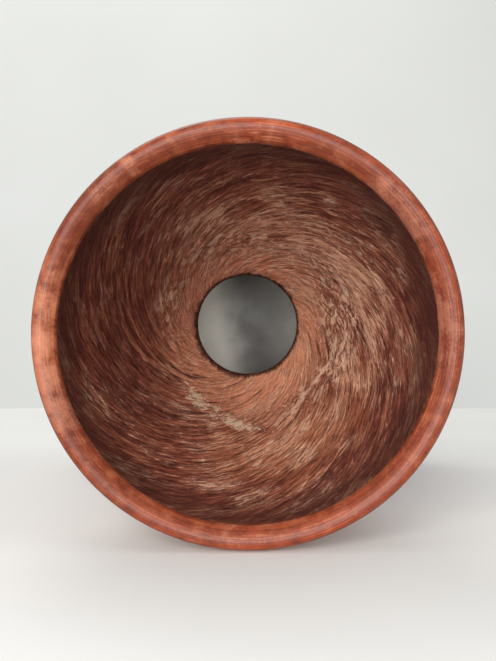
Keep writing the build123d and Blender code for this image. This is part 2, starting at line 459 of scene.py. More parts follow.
# ---- wooden shell
CARVED_TURNS, PLAIN_TURNS, HOLE_TURNS = 440, 220, 32
CARVED_RINGS = 146
SPIRAL = radians(44)  # pitch of the gouge strokes against a circle round the bell
CARVED, TURNED, BOWL = 0, 1, 2
SMOOTH_GAP = 3.5 * MM  # least spacing of the points that a smooth curve goes through
LIP_R, OPENING_R, COLLAR_R = 0.1121, 0.1151, 0.1305  # lip's bevel, bearing edge and collar, at most or least
LIP_TOP, OUTER_LIP_TOP, COLLAR_ROOT = 0.02, 0.024, 0.38
ONE_RING, FULL_RING = 24, 90  # vertices that share a radius and height on a turned edge

inside, outside = section_points()
inner = inside[np.argsort(inside[:, 1])][:, :2]
throat_r = inner[:, 0].min()
land = inner[np.abs(inner[:, 0] - throat_r) < 1e-5][:, 1]
throat_low, throat_high = land.min(), land.max()
bell = curve_through(thin(inner[inner[:, 1] <= throat_low + 1e-6], SMOOTH_GAP), 0.5 * MM)
bowl = curve_through(thin(inner[inner[:, 1] >= throat_high - 1e-6], SMOOTH_GAP), 15 * MM)

outside = outside[np.argsort(outside[:, 1])]
strong = outside[outside[:, 2] >= FULL_RING][:, :2]
outer = outside[outside[:, 2] >= ONE_RING][:, :2]
bevel = outer[(outer[:, 0] < LIP_R) & (outer[:, 1] < 0.007)]
bevel = bevel[np.argsort(-bevel[:, 0])]
widest = np.where(strong[:, 1] < LIP_TOP, strong[:, 0], 0)
nose_r, nose_z = widest.max(), strong[np.argmax(widest)][1]
nose = strong[(strong[:, 0] > LIP_R) & (strong[:, 1] < nose_z - 1e-5)]
nose = np.concatenate([thin(nose[np.argsort(nose[:, 0])], 0.5 * MM), [[nose_r, nose_z]]])
body = outside[(outside[:, 1] >= nose_z - 1e-6) & (outside[:, 1] <= COLLAR_ROOT + 1e-6)][:, :2]
body = curve_through(thin(body, SMOOTH_GAP), 9.5 * MM)
collar = thin(strong[(strong[:, 1] > COLLAR_ROOT) & (strong[:, 0] > COLLAR_R)], 0.3 * MM)
edge = outer[(outer[:, 0] < OPENING_R) & (outer[:, 1] > 0.42)]
edge = thin(edge[np.argsort(-edge[:, 0])], 0.25 * MM)

# the carved bell, as a grid of rings from the lip to the throat's edge
arc = np.append(0, np.cumsum(np.hypot(*np.diff(bell, axis=0).T)))
depth_of_bell = arc[-1]
angle = np.arange(CARVED_TURNS) * 2 * pi / CARVED_TURNS
look = -angle  # anticlockwise as the camera sees it, from the right
throat_wear = (
    0.7 + 1.3 * lobe(look, 205, 50) + 0.9 * lobe(look, 262, 30) + 0.5 * waves(look, 0.0, 5, 3, 9)
    + 0.4 * waves(look, 0.0, 6, 14, 45) + 0.3 * waves(look, 0.0, 7, 60, 120)
) * MM
throat_wear = np.clip(throat_wear, 0.25 * MM, None)
slope_at_throat = 0.705  # radius lost for each unit of height there
share = np.linspace(0, 1, CARVED_RINGS)[:, None]
end = depth_of_bell - throat_wear * sqrt(1 + 1 / slope_at_throat**2)
along = share * (depth_of_bell + (end - depth_of_bell) * smooth(share, 0.75, 1))
grid_r = np.interp(along, arc, bell[:, 0])
grid_z = np.interp(along, arc, bell[:, 1])
look_grid = np.broadcast_to(look, grid_r.shape)
row_s = along.mean(1)
row_r = grid_r.mean(1)


def stroke_axes(round_bell, up_wall, pitch):
    """Distances along and across a stroke of the gouge."""
    return round_bell * cos(pitch) + up_wall * sin(pitch), up_wall * cos(pitch) - round_bell * sin(pitch)


# gouge strokes: each scoops where it goes deeper than those before it
STROKES, STROKE_EDGE = 4200, 0.006
cut = np.zeros(grid_r.shape)
tone = np.full(grid_r.shape, 0.5)
rng = np.random.default_rng(11)
for _ in range(STROKES):
    s0 = rng.uniform(0.019, depth_of_bell)
    psi0 = rng.uniform(-pi, pi)
    inward = s0 / depth_of_bell
    pitch = SPIRAL * (1 - 0.62 * smooth(inward, 0.62, 0.95)) + rng.normal(0, radians(6))
    half_length = rng.uniform(0.007, 0.020)
    sweep = rng.uniform(4, 11) * MM
    depth = rng.uniform(0.3, 0.95) * MM * (1 - 0.5 * smooth(inward, 0.8, 1)) * smooth(s0, 0.018, 0.05)
    tint = rng.uniform(0, 1)
    reach = half_length + STROKE_EDGE
    rows = np.nonzero(np.abs(row_s - s0) < reach)[0]
    if not len(rows):
        continue
    round_bell = turn_gap(look, psi0) * np.interp(s0, row_s, row_r)
    window = np.ix_(rows, np.nonzero(np.abs(round_bell) < reach)[0])
    a, c = stroke_axes(round_bell[window[1]], along[window] - s0, pitch)
    scooped = depth * (1 - (a / half_length) ** 2) - c**2 / (2 * sweep)
    deeper = scooped > cut[window]
    cut[window] = np.where(deeper, scooped, cut[window])
    tone[window] = np.where(deeper, tint, tone[window])

# ripples at the top left, and a slow unevenness all over
twist_of = np.append(0, np.cumsum(np.diff(arc) / (tan(SPIRAL) * (bell[1:, 0] + bell[:-1, 0]) / 2)))
twist = np.interp(along, arc, twist_of)
swirl_angle = look_grid - twist
ripples = np.sin(95 * swirl_angle + 1.6 * waves(swirl_angle, along, 21, 2, 6))
ripple_zone = lobe(look_grid, -98, 38) * smooth(along, 0.035, 0.06) * (1 - smooth(along, 0.11, 0.14))
cut += 0.2 * MM * (ripples + 1) * ripple_zone
cut += 0.32 * MM * (waves(look_grid, along, 31, 2, 7) + 1) * smooth(along, 0.02, 0.06) * (1 - 0.6 * share)

# long thin cracks, gathered at a few angles
CRACKS, CRACK_ANGLES = 44, [25, -15, 140, 205, 215, 228, 240, 252]
nick = np.zeros(cut.shape)
rng = np.random.default_rng(4)
for _ in range(CRACKS):
    s0 = rng.uniform(0.05, depth_of_bell - 0.012)
    psi0 = radians(rng.choice(CRACK_ANGLES) + rng.normal(0, 16))
    half_length = rng.uniform(0.010, 0.030)
    half_width = rng.uniform(1.1, 1.6) * MM
    pitch = SPIRAL * 0.9 + rng.normal(0, 0.10)
    bow = rng.normal(0, 6)
    round_bell = turn_gap(look_grid, psi0) * np.interp(s0, row_s, row_r)
    a, c = stroke_axes(round_bell, along - s0, pitch)
    crack = np.clip(1 - (a / half_length) ** 2, 0, 1) * np.exp(-(((c + bow * a**2) / half_width) ** 2))
    cut += rng.uniform(0.5, 1.0) * MM * crack
    nick = np.maximum(nick, crack)

# how far each point stands above the average round it
BLUR_TURNS, BLUR_RINGS = 9, 5
local = sum(np.roll(cut, k, axis=1) for k in range(-BLUR_TURNS, BLUR_TURNS + 1)) / (2 * BLUR_TURNS + 1)
padded = np.pad(local, ((BLUR_RINGS, BLUR_RINGS), (0, 0)), mode="edge")
local = sum(padded[k : k + CARVED_RINGS] for k in range(2 * BLUR_RINGS + 1)) / (2 * BLUR_RINGS + 1)
ridge = np.clip(0.5 + (local - cut) / (0.9 * MM), 0, 1)


def spots(start, *rows):
    """Adds soft spots on the bell's wall: (strength, angle as the camera sees it, height, width, tall)."""
    for strength, look_deg, height, width_deg, tall in rows:
        spot = lobe(look_grid, look_deg, width_deg) * np.exp(-(((grid_z - height) / tall) ** 2))
        start = start + strength * spot
    return start


cream = spots(
    0.04,
    (0.66, 30, 0.138, 46, 0.046), (0.46, -22, 0.128, 26, 0.044), (0.40, -80, 0.128, 40, 0.038),
    (0.42, 88, 0.150, 42, 0.036), (0.22, 135, 0.150, 30, 0.040), (-0.20, -150, 0.120, 30, 0.060),
    (-0.16, 175, 0.130, 50, 0.080), (-0.20, -45, 0.090, 22, 0.050),
)
cream = cream + 0.20 * waves(swirl_angle, along, 43, 3, 14) + 0.20 * waves(look_grid, along, 44, 4, 22, 40)
chalk = spots(
    0,
    (0.9, -135, 0.168, 9, 0.013), (1.0, -122, 0.163, 10, 0.013), (0.8, -109, 0.158, 10, 0.011),
    (1.0, -97, 0.152, 9, 0.012), (0.9, -85, 0.149, 9, 0.011), (0.9, 21, 0.176, 5, 0.003),
    (0.8, 97, 0.1975, 17, 0.0035), (0.55, 55, 0.170, 12, 0.012), (0.5, -12, 0.168, 11, 0.012),
    (0.5, -62, 0.150, 14, 0.013),
)
warm = spots(0, (0.9, -65, 0.200, 80, 0.028), (0.85, -65, 0.110, 48, 0.040), (0.5, 60, 0.205, 45, 0.02))
# darker towards the lip: dark stain with painted shade; more painted shade on the left, at the top, at the
# right near the lip and at the lower left
stain_and_shade = spots(
    0.90 * (1 - smooth(along, 0.010, 0.060)),
    (0.55, 172, 0.110, 52, 0.06), (0.3, 100, 0.06, 60, 0.05), (0.5, 5, 0.045, 40, 0.035),
    (0.28, -142, 0.115, 26, 0.040),
)
cross = spots(
    0,
    (1.0, 0, 0.158, 44, 0.024), (0.60, 95, 0.165, 38, 0.020), (0.5, 168, 0.170, 34, 0.018),
    (0.5, -60, 0.160, 26, 0.012),
)
# painted light: paler towards the throat, most at the lower right, where the light falls into the bell
painted_light = spots(
    smooth(grid_z, 0.135, 0.192) * (0.60 + 0.62 * lobe(look_grid, -55, 75)),
    (0.22, 120, 0.130, 45, 0.05), (0.50, -72, 0.122, 42, 0.04),
)
fields = {
    "ridge": ridge, "tone": tone, "nick": nick, "cream": cream, "chalk": chalk, "warm": warm, "stain_and_shade": stain_and_shade,
    "painted_light": painted_light, "cross": cross, "edge": smooth(along, end - 0.002, end), "twist": twist, "along": along,
}

skin = Skin()
lip_wave = 0.22 * MM * waves(look, 0.0, 51, 2, 9) + 0.10 * MM * waves(look, 0.0, 52, 10, 40)
tangent = np.gradient(bell, arc, axis=0)
bell_rings = []
for row in range(CARVED_RINGS):
    t_r = np.interp(along[row], arc, tangent[:, 0])
    t_z = np.interp(along[row], arc, tangent[:, 1])
    into = cut[row] + (lip_wave + 0.3 * MM) * (1 - smooth(along[row], 0, 0.02))
    radius = grid_r[row] + into * t_z
    height = grid_z[row] - into * t_r * (row > 0)
    values = {name: field[row] for name, field in fields.items()}
    bell_rings.append(skin.ring(around_axis(radius, angle, height), **values))
    if row:
        skin.strip(bell_rings[-2], bell_rings[-1], CARVED)
previous = bell_rings[-1]
last_r, last_z = radius, height

# the throat's steep edge, then the inside of the body bowl
for step in (0.25, 0.5, 0.75, 1.0):
    chipped = 0.25 * MM * (waves(look, 0.02 * step, 61, 8, 50) - 1) * (step < 1)
    radius = np.maximum(last_r + (throat_r - last_r) * step**0.7 + chipped, throat_r)
    height = last_z + (throat_high - last_z) * step
    xyz = around_axis(radius, angle, height)
    ring = skin.ring(xyz, twist=twist[-1], along=along[-1], ridge=0.2, tone=0.3, edge=1.0)
    skin.strip(previous, ring, CARVED)
    previous = ring
previous = skin.run(previous, bowl[1:], PLAIN_TURNS, BOWL)
previous = skin.run(previous, edge[::-1][1:], PLAIN_TURNS, BOWL)

# the collar's top face, with the eight stepped holes for the inserts
low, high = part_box("threaded_insert_1")
insert_top = high.z
insert_r = (high.y - low.y) / 2
circle_r = (high.x + low.x) / 2
screw_angles = [2 * pi * k / SCREWS for k in range(SCREWS)]
screw_places = [(circle_r * cos(t), circle_r * sin(t)) for t in screw_angles]
collar_top = insert_top + 0.2 * MM
insert_hole, drill_hole, ledge, bottom = insert_r + 0.02 * MM, 3.4 * MM, 20.2 * MM, 26 * MM
face_in = skin.turned(edge[0][0], collar_top, PLAIN_TURNS)
skin.strip(previous, face_in, TURNED)
face_out = skin.turned(collar[-1][0], collar_top, PLAIN_TURNS)
hole_turn = np.arange(HOLE_TURNS) * 2 * pi / HOLE_TURNS
hole_rings = []
for x, y in screw_places:
    rings = []
    for r, deep in ((insert_hole, 0), (insert_hole, ledge), (drill_hole, ledge), (drill_hole, bottom)):
        rings.append(skin.ring(around_axis(r, hole_turn, collar_top - deep) + (x, y, 0)))
        if len(rings) > 1:
            skin.strip(rings[-2], rings[-1], TURNED)
    skin.faces.append(rings[-1].tolist())
    skin.materials.append(TURNED)
    hole_rings.append(rings[0])


def clear_of(hole_radius):
    """Tells whether a point lies outside all eight holes."""
    return lambda x, y: all(np.hypot(x - a, y - b) > hole_radius for a, b in screw_places)


points = np.concatenate(skin.rings)
for face in plate(points, [face_in, face_out, *hole_rings], clear_of(insert_r)):
    if edge[0][0] < np.hypot(*points[face].mean(0)[:2]) < collar[-1][0]:
        skin.faces.append(face)
        skin.materials.append(TURNED)

# the outside, back down to the foot and over the lip
previous = skin.run(face_out, collar[::-1][1:], PLAIN_TURNS, TURNED)
previous = skin.run(previous, body[body[:, 1] > OUTER_LIP_TOP][::-1], PLAIN_TURNS, TURNED)
outer_lip = curve_through(thin(body[body[:, 1] <= OUTER_LIP_TOP], 1 * MM), 1.5 * MM)[::-1]
lip = np.concatenate([outer_lip, nose[::-1][1:], bevel[:-1] if bevel[-1][1] > FOOT_EDGE else bevel])
# painted highlight on the lip's left side, and painted shade in patches round the lip
lip_highlight = 0.9 * lobe(look, 182, 24) + 0.2 * waves(look, 0.0, 71, 3, 12) + 0.25 * waves(look, 0.0, 72, 20, 60)
darker_patches = (
    1.0 * lobe(look, 138, 26) + 0.7 * lobe(look, 48, 24) + 0.8 * lobe(look, 216, 20) + 0.6 * lobe(look, 0, 24)
    + 0.2 * waves(look, 0.0, 73, 4, 14)
)
lip_values = {"painted_light": np.clip(lip_highlight, 0, 1), "stain_and_shade": np.clip(darker_patches, 0, 1)}
previous = skin.run(previous, lip, CARVED_TURNS, TURNED, **lip_values)
skin.strip(previous, bell_rings[0], TURNED)


# ---- wood materials
def carved_wood():
    """The bell's inside: raw wood scooped with a gouge, dusty and torn."""
    g = Graph("carved_wood")
    place, swirl, polar = g.place(), g.attribute("swirl", "Vector"), g.attribute("polar", "Vector")
    ridge, tone, nick, cream, chalk, warm, stain_and_shade, painted_light, edge, cross = map(g.attribute, ATTRIBUTES)

    broad = g.grain(swirl, (9, 9, 30), detail=4, roughness=0.6)
    middle = g.grain(swirl, (34, 34, 70), (3, 1, 7), detail=5, roughness=0.7, distortion=0.25)
    fine = g.grain(swirl, (78, 78, 130), (5, 2, 1), detail=4, roughness=0.65, distortion=0.2)
    fibre = g.grain(swirl, (130, 130, 170), (1, 8, 4), roughness=0.6)
    crack = g.grain(swirl, (34, 34, 60), (2, 5, 3), detail=4)
    hair = g.grain(swirl, (46, 46, 70), (9, 4, 2), roughness=0.5, distortion=0.8)
    circles = g.grain(place, (16, 16, 420), detail=5, roughness=0.65)
    rays = g.grain(polar, (60, 60, 40), detail=4, roughness=0.65)
    blotch = g.noise(place, 34, 6, 0.7)
    lace = g.noise(place, 380, 5, 0.7)
    curd = g.noise(place, 120, 4, 0.6)
    grit = g.noise(place, 1300, 3, 0.7)

    # each gouge cut is a long scooped cell with a crisp edge; small cuts lie across large ones
    scoop, far, cut_tint = g.cells(g.shift(g.stretch(swirl, (11, 11, 46)), g.warp(place, 70, 0.9)))
    rim_line = g.step(far, 0.02, 0.10, 1.0, 0.0)
    small = g.shift(g.stretch(swirl, (23, 23, 84), (4, 7, 2)), g.warp(place, 130, 0.9))
    scoop_small, far, cut_tint_small = g.cells(small)
    rim_small = g.step(far, 0.02, 0.14, 1.0, 0.0)

    # bare mauve-brown wood, streaked along the gouge's path
    base = g.ramp(
        g.total(
            (broad, 0.20), (middle, 0.26), (fine, 0.32), (tone, 0.05), (blotch, 0.08),
            (cut_tint, 0.10), (cut_tint_small, 0.08),
        ),
        (0.44, (86, 39, 33)), (0.51, (134, 67, 54)), (0.57, (170, 93, 71)), (0.65, (212, 138, 104)),
    )
    warmth = g.step(g.total((warm, 0.8), (middle, 0.6), (blotch, 0.4)), 0.60, 1.15, 0.0, 0.75)
    base = g.mix(warmth, base, g.mix(g.step(fine, 0.42, 0.58), (164, 82, 50), (206, 122, 80)))

    # near the throat the wood is scraped in circles, with scratches across them
    near = g.step(g.axis(place, "Z"), 0.150, 0.188)
    arcs = g.mix(g.step(circles, 0.44, 0.56), (122, 52, 40), (240, 154, 120))
    base = g.paint(base, arcs, 0.42, near)
    # painted light near the throat, most at the lower right
    base = g.paint(base, (255, 170, 130), 0.66, painted_light)
    base = g.paint(base, (248, 208, 176), 0.55, g.step(rays, 0.57, 0.63), near)

    # dust, and painted shade in the grooves and hollows of the relief, less of it where light is painted near
    # the throat
    dusty = g.total((cream, 0.8), (broad, 0.35), (middle, 0.9), (blotch, 0.6), (ridge, 0.35))
    base = g.mix(g.step(dusty, 1.25, 1.85, 0.0, 0.36), base, (192, 128, 98))
    less_shade_where_lit = g.math("SUBTRACT", 1.0, g.times(painted_light, 0.25))
    base = g.paint(base, (82, 36, 28), 0.42, g.step(ridge, 0.08, 0.46, 1.0, 0.0), less_shade_where_lit)
    dark = g.add(middle, g.swing(blotch, 0.3))
    base = g.paint(base, (80, 36, 31), 0.55, g.step(dark, 0.40, 0.46, 1.0, 0.0), less_shade_where_lit)
    base = g.paint(base, (78, 35, 30), 0.6, g.step(fine, 0.40, 0.46, 1.0, 0.0), less_shade_where_lit)

    # torn fibres show cream on the raised parts; painted shade lies in the cuts between them and painted
    # highlights along the cuts' edges
    torn = g.total(
        (cream, 0.42), (middle, 0.30), (fine, 0.9), (fibre, 0.6), (ridge, 0.2), (blotch, 0.15),
        (rim_line, 0.22), (rim_small, 0.16), (cut_tint_small, 0.10),
    )
    torn = g.step(torn, 1.47, 1.58, 0.0, 0.88)
    base = g.mix(torn, base, g.mix(g.step(blotch, 0.4, 0.6), (226, 160, 130), (252, 212, 184)))
    # painted shade in the cuts between the fibres
    between = g.total((fine, 0.55), (middle, 0.25), (fibre, 0.20))
    between = g.step(between, 0.455, 0.495, 1.0, 0.0)
    base = g.paint(base, (112, 50, 40), 0.72, between, g.step(cream, 0.1, 0.7))
    hair = g.step(g.math("ABSOLUTE", g.add(hair, -0.5)), 0.004, 0.013, 1.0, 0.0)
    hairy = g.step(g.add(blotch, g.times(cream, 0.12), g.times(painted_light, 0.10)), 0.52, 0.58)
    base = g.paint(base, (240, 198, 166), 0.85, hair, hairy)
    base = g.paint(base, (230, 144, 110), 0.45, g.step(g.add(fibre, g.times(cream, 0.08)), 0.57, 0.62))
    # painted highlights along the edges of the gouge cuts
    edge_highlights = g.math("MAXIMUM", rim_line, g.times(rim_small, 0.8))
    base = g.paint(base, (244, 186, 150), 0.62, edge_highlights, g.step(g.add(middle, g.times(cream, 0.35)), 0.54, 0.72))
    # painted shade where the fibres sink
    base = g.paint(base, (78, 33, 25), 0.5, g.step(fibre, 0.39, 0.44, 1.0, 0.0), less_shade_where_lit)

    # short cuts that lie across the others, around the bell: painted highlights as bright arcs, with a
    # painted shadow line below each
    bow = g.shift(g.stretch(polar, (7, 7, 150), (2, 6, 1)), g.warp(place, 36, 1.6))
    across = g.noise(bow, detail=2.0, roughness=0.5)
    across_highlight = g.step(across, 0.53, 0.60)
    zone = g.step(g.add(cross, g.swing(middle, 1.0), g.swing(blotch, 0.8)), 0.15, 0.65)
    across_shadow = g.times(g.step(across, 0.42, 0.46), g.step(across, 0.49, 0.53, 1.0, 0.0))
    base = g.paint(base, (96, 42, 33), 0.62, across_shadow, zone)
    base = g.paint(base, (255, 212, 182), 0.62, across_highlight, zone)

    # crumbled patches, long cracks, dark stain with painted shade, and the throat's dark arris
    crumbs = g.step(g.total((chalk, 0.34), (lace, 1.3), (curd, 0.8), (fine, 0.2)), 1.50, 1.55)
    base = g.paint(base, (240, 208, 176), 0.85, crumbs)
    split = g.step(g.add(nick, g.swing(crack, 0.6)), 0.62, 0.80)
    base = g.paint(base, (58, 25, 19), 0.72, split)
    base = g.paint(base, (80, 38, 32), 0.70, stain_and_shade)
    # the throat's arris: dark end grain, with painted shade on it
    base = g.paint(base, (66, 34, 28), 0.65, edge)

    rough = g.step(g.add(middle, g.times(torn, 0.5)), 0.3, 1.1, 0.55, 0.9)
    facets = g.total((scoop, 1.0), (scoop_small, 0.55), (cut_tint, 0.35), (cut_tint_small, 0.18))
    height = g.total(
        (fine, 0.5), (g.step(fine, 0.42, 0.58), 0.25), (fibre, 0.3), (middle, 0.8), (split, -0.6),
        (g.times(across_highlight, zone), 0.35),
    )
    scraped = g.add(grit, g.times(rays, near), g.times(circles, near))
    bumps = [(facets, 4.5, 1.0), (height, 3.2, 1.0), (scraped, 0.4, 0.8)]
    return g.surface(base, rough, bumps, Specular_IOR_Level=0.14)


def turned_wood():
    """The outside and the lip: turned, oiled and handled."""
    g = Graph("turned_wood")
    place = g.place()
    tall, reach = g.axis(place, "Z"), g.reach(place)
    lip_highlight, stain_and_shade = g.attribute("painted_light"), g.attribute("stain_and_shade")
    wobble = g.grain(place, (9, 9, 3))
    off_centre = g.reach(place, 0.02, (0.006, -0.004, 0))
    growth = g.vector(g.total((off_centre, 260), (wobble, 7)), g.times(wobble, 2), g.times(tall, 6))
    rings = g.noise(growth, detail=4, roughness=0.6)
    fibre = g.grain(place, (420, 420, 16), detail=4, roughness=0.65)
    pores = g.grain(place, (1100, 1100, 55), detail=2, roughness=0.6)
    cloud = g.noise(place, 16, 4, 0.6)
    patch = g.noise(place, 130, 5, 0.7)
    speck = g.noise(place, 700, 3, 0.7)
    base = g.ramp(
        g.total((rings, 0.45), (cloud, 0.25), (fibre, 0.30)),
        (0.38, (84, 36, 22)), (0.47, (116, 54, 32)), (0.54, (142, 70, 40)), (0.64, (170, 92, 54)),
    )

    # bands across the lip, from its inner to its outer edge, with streaks along them; the darkest band at the
    # outer edge is painted shade where the lip turns away
    across = g.add(reach, g.swing(wobble, 0.006), g.swing(cloud, 0.005), g.swing(patch, 0.003))
    band = g.node("MapRange", {"Value": across, "From Min": 0.104, "From Max": 0.121})
    lip = g.ramp(
        band.outputs["Result"],
        (0.0, (92, 38, 20)), (0.18, (124, 51, 24)), (0.38, (112, 51, 32)), (0.58, (112, 51, 35)),
        (0.76, (140, 53, 16)), (0.92, (148, 60, 12)), (1.0, (62, 23, 13)),
    )
    streaks = g.vector(g.times(reach, 900), g.times(wobble, 9), g.times(tall, 300))
    streaks = g.noise(streaks, detail=4, roughness=0.65)
    lip = g.mix(g.step(streaks, 0.41, 0.48, 0.72, 0.0), lip, (80, 32, 22))
    lip = g.mix(g.step(streaks, 0.54, 0.62, 0.0, 0.5), lip, (168, 92, 62))
    lip = g.mix(g.step(patch, 0.36, 0.47, 0.5, 0.0), lip, (76, 32, 23))
    # painted shade in patches round the lip
    lip = g.paint(lip, (74, 28, 15), 0.62, stain_and_shade)
    # pale patches, brighter where the highlight is painted on the lip's left side
    lip = g.mix(g.step(g.add(patch, g.times(lip_highlight, 0.32)), 0.46, 1.12, 0.0, 0.62), lip, (196, 128, 92))
    foot = g.step(tall, 0.006, 0.024, 1.0, 0.0)
    base = g.paint(base, lip, 0.9, foot)
    base = g.mix(g.step(pores, 0.30, 0.42, 0.45, 0.0), base, (72, 32, 23))
    # pale wear over the lip, with a little more where the highlight is painted
    wear_and_painted_light = g.add(cloud, g.times(speck, 0.35), g.times(streaks, 0.4), g.times(lip_highlight, 0.15))
    base = g.paint(base, (196, 142, 120), 0.16, g.step(wear_and_painted_light, 0.92, 1.04), foot)
    rough = g.step(g.total((cloud, 0.4), (patch, 0.3), (speck, 0.3)), 0.3, 0.7, 0.42, 0.62)
    bumps = [(fibre, 0.14, 0.4), (pores, 0.12, 0.45), (patch, 0.5, 0.3), (streaks, 0.15, 0.3)]
    return g.surface(base, rough, bumps, Coat_Weight=0.04, Coat_Roughness=0.30, Specular_IOR_Level=0.2)


def bowl_wood():
    """The inside above the throat, turned smooth."""
    g = Graph("bowl_wood")
    place = g.place()
    tool = g.grain(place, (10, 10, 420), detail=4, roughness=0.6)
    cloud = g.noise(place, 20, 4)
    fibre = g.grain(place, (500, 500, 30))
    base = g.ramp(
        g.total((tool, 0.5), (cloud, 0.4), (fibre, 0.1)),
        (0.38, (92, 44, 34)), (0.50, (134, 72, 52)), (0.62, (160, 94, 70)),
    )
    rough = g.step(cloud, 0.3, 0.7, 0.6, 0.85)
    return g.surface(base, rough, [(tool, 0.4, 0.6), (fibre, 0.12, 0.4)], Specular_IOR_Level=0.3)


# ---- metal and film materials
def metal(name, low, high, roughness):
    """Machined metal with fine tool lines round the part's own axis."""
    g = Graph(name)
    place = g.place()
    turned = g.vector(g.times(g.reach(place), 1500), g.times(g.axis(place, "Z"), 1500))
    lines = g.noise(g.shift(turned, g.stretch(place, (9, 9, 0))), roughness=0.6)
    cloud = g.noise(place, 55, 4, 0.6)
    speck = g.noise(place, 1500, 2)
    scuff = g.grain(place, (420, 60, 200), (3, 1, 2), roughness=0.7, distortion=0.6)
    base = g.ramp(g.total((lines, 0.4), (cloud, 0.6)), (0.35, low), (0.62, high))
    darker_patches = g.step(g.total((cloud, 0.5), (scuff, 0.5)), 0.52, 0.64)
    base = g.paint(base, low, 0.35, darker_patches)
    uneven = g.total((cloud, 0.5), (speck, 0.2), (darker_patches, 0.2))
    rough = g.step(uneven, 0.3, 0.8, roughness - 0.06, roughness + 0.18)
    return g.surface(base, rough, [(lines, 0.04, 0.4), (speck, 0.02, 0.35), (scuff, 0.05, 0.2)], Metallic=1.0)


def film_plastic():
    """Frosted film, grey, with painted shade in a dark patch at its middle."""
    g = Graph("frosted_film")
    place = g.place()
    x, y = g.axis(place, "X"), g.axis(place, "Y")
    cloud = g.noise(place, 30, 4, 0.6)
    frost = g.noise(place, 2600, 2, 0.6)
    side = g.add(g.times(x, 0.98), g.times(y, -0.16), g.swing(cloud, 0.02))
    # painted shade: a dark patch at the middle, fading out towards the film's rim
    wear_and_painted_light = g.times(
        g.step(side, -0.036, 0.004), g.step(side, 0.010, 0.060, 1.0, 0.35), g.step(y, -0.050, 0.0, 0.72, 1.0),
        g.step(g.reach(place), 0.056, 0.088, 1.0, 0.0),
    )
    base = g.ramp(cloud, (0.3, (214, 210, 204)), (0.7, (228, 224, 218)))
    base = g.paint(base, (64, 58, 54), 0.93, wear_and_painted_light)
    rough = g.step(g.total((cloud, 0.5), (frost, 0.5)), 0.35, 0.65, 0.34, 0.48)
    g.surface(base, rough, [(frost, 0.03, 0.5)], Specular_IOR_Level=0.5)
    return g.mixed_with(0.55, g.node("BsdfTranslucent", {"Color": base}).outputs[0])


rim_metal = metal("rim_aluminium", (168, 170, 172), (206, 208, 210), 0.30)
hoop_metal = metal("hoop_aluminium", (180, 181, 182), (202, 203, 204), 0.36)
screw_metal = metal("screw_steel", (120, 121, 124), (170, 171, 174), 0.28)
washer_metal = metal("washer_steel", (146, 147, 150), (188, 189, 191), 0.32)
brass = metal("insert_brass", (180, 136, 66), (214, 172, 94), 0.32)


# ---- the pieces
def place_part(piece, body, replaced):
    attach(piece, body)
    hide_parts(replaced)


place_part(skin.build("body_shell", [carved_wood(), turned_wood(), bowl_wood()]), "drum", "shell")

# the film: flat over the bearing edge, then bent down into the hoop, where it stretches with tuning
top_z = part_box("head_film")[1].z / MM
thick, bend, collar_out, film_end, hoop_top, row_gap = 0.35, 6.4, 117.85, 418.0, 421.6, 0.8
bend_r, bend_z = collar_out - bend, top_z - bend
arc_steps = [radians(90 * k / 9) for k in range(10)]
outside_line = [(r, top_z) for r in (0, 2, 6, 14, 26, 40, 55, 70, 85, 98, 107)]
outside_line += [(bend_r + bend * sin(t), bend_z + bend * cos(t)) for t in arc_steps]
rows_down = [*np.arange(bend_z - row_gap, film_end, -row_gap), film_end]
outside_line += [(collar_out, z) for z in rows_down]
inside_line = [(r, top_z - thick) for r in (0, 6, 26, 55, 85, 107)]
inside_line += [(bend_r + (bend - thick) * sin(t), bend_z + (bend - thick) * cos(t)) for t in arc_steps]
inside_line += [(collar_out - thick, z) for z in rows_down]
film_outline = [(r * MM, z * MM) for r, z in outside_line + inside_line[::-1]]
film = turned_part(film_outline, 192, closed=False).build("film", film_plastic(), 40)
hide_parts("head_film")
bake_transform(film)

# the flesh hoop, slotted from above for the film's edge
hoop = turned_part(
    rounded([
        (115.3, 414.6, 0.6), (121.2, 414.6, 0.6), (121.2, 421.6, 0.5), (118.2, 421.6, 0.15),
        (118.2, 416.0, 0), (117.15, 416.0, 0), (117.15, 421.6, 0.15), (115.3, 421.6, 0.5),
    ]), 192).build("flesh_hoop_ring", hoop_metal, 40)
place_part(hoop, "rim", "flesh_hoop")

# the tuning rim: turned, with eight round pockets that sink the screw heads
RIM_TOP, RIM_FOOT, SHOULDER, FALL_WIDE, FALL_TALL = 429.5, 414.8, 125.0, 13.0, 11.0
BORE, WALL, OUTER, POCKET, POCKET_FLOOR, SCREW_HOLE = 118.4, 121.5, 138.0, 6.25, 418.8, 3.4
POCKET_MOUTH = ((0.5, 0), (0.25, 0.04), (0.08, 0.18), (0, 0.5))  # wider than the pocket, below the rim's top
POCKET_WELL = (
    (POCKET, POCKET_FLOOR + 0.3), (POCKET - 0.1, POCKET_FLOOR + 0.08), (POCKET - 0.3, POCKET_FLOOR),
    (SCREW_HOLE + 0.2, POCKET_FLOOR), (SCREW_HOLE, POCKET_FLOOR - 0.2), (SCREW_HOLE, RIM_FOOT + 0.2),
    (SCREW_HOLE + 0.2, RIM_FOOT),
)
circle_mm = circle_r / MM
PATCH_IN, PATCH_OUT, PATCH_HALF, PATCH_CELLS, PLAIN_CELLS = 121.5, 137.2, 3.64, 16, 22


def rim_height(r):
    """Height of the rim's top face, in millimetres."""
    fall = np.clip((r - SHOULDER) / FALL_WIDE, 0, 1)
    return RIM_TOP - FALL_TALL * (1 - sqrt(1 - fall * fall))


